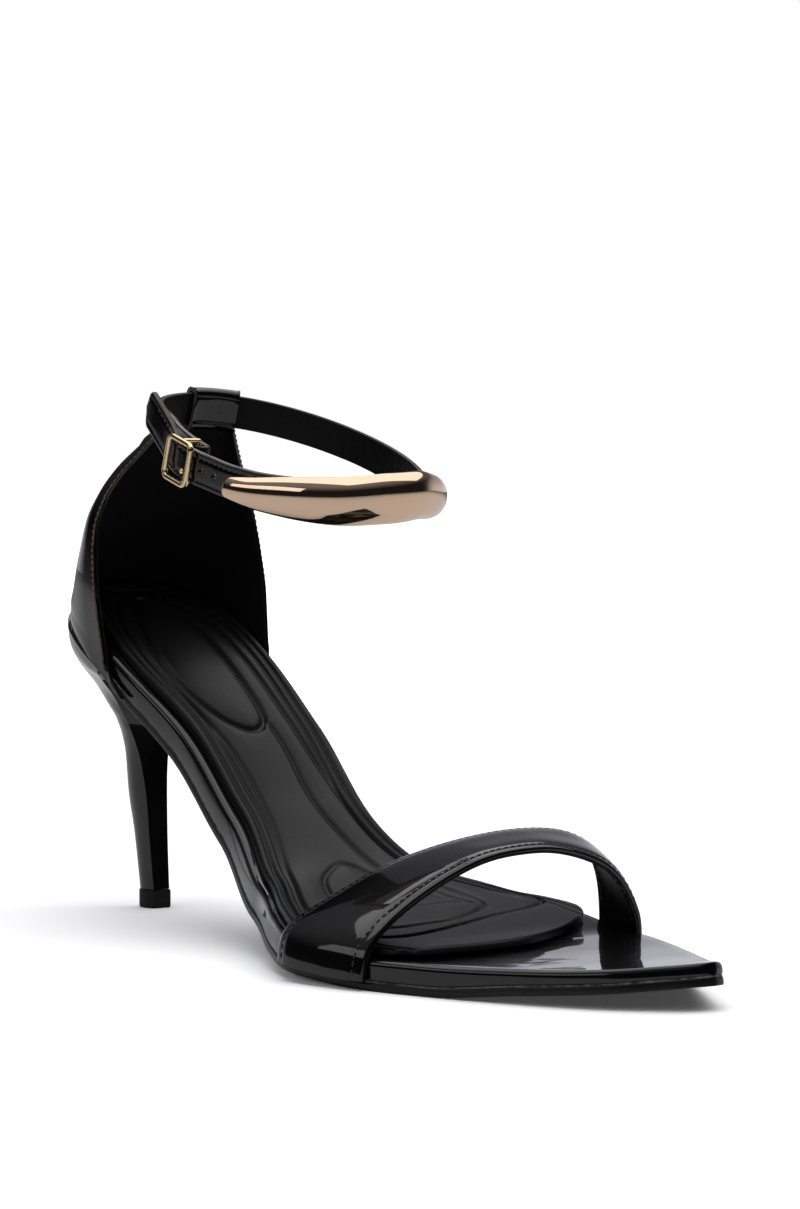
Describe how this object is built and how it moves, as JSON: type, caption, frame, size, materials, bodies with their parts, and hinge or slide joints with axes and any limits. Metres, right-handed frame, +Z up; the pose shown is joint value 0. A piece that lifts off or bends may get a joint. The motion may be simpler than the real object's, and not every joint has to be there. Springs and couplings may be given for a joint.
{
  "type": "strappy heeled sandal",
  "caption": "Pointed high-heeled sandal, patent toe strap, closed counter, buckled ankle strap with a metal bangle.",
  "frame": {"origin": "centre of the heel tip's face on the floor", "axes": "+X to the toe, +Y to the medial (inner) side, +Z up"},
  "size_m": [0.2489, 0.0886, 0.1369],
  "materials": {
    "outsole_rubber": "satin",
    "lift_rubber": "matte",
    "patent": "gloss",
    "sock_leather": "matte",
    "rose_gold": "polished",
    "pale_gold": "polished"
  },
  "bodies": {
    "root": {"outsole": "outsole_rubber", "top_lift": "lift_rubber", "platform": "patent", "heel": "patent", "counter": "patent", "toe_strap": "patent", "ankle_strap": "patent", "sock": "sock_leather", "bangle": "rose_gold", "buckle": "pale_gold", "prong": "pale_gold"}
  },
  "joints": []
}
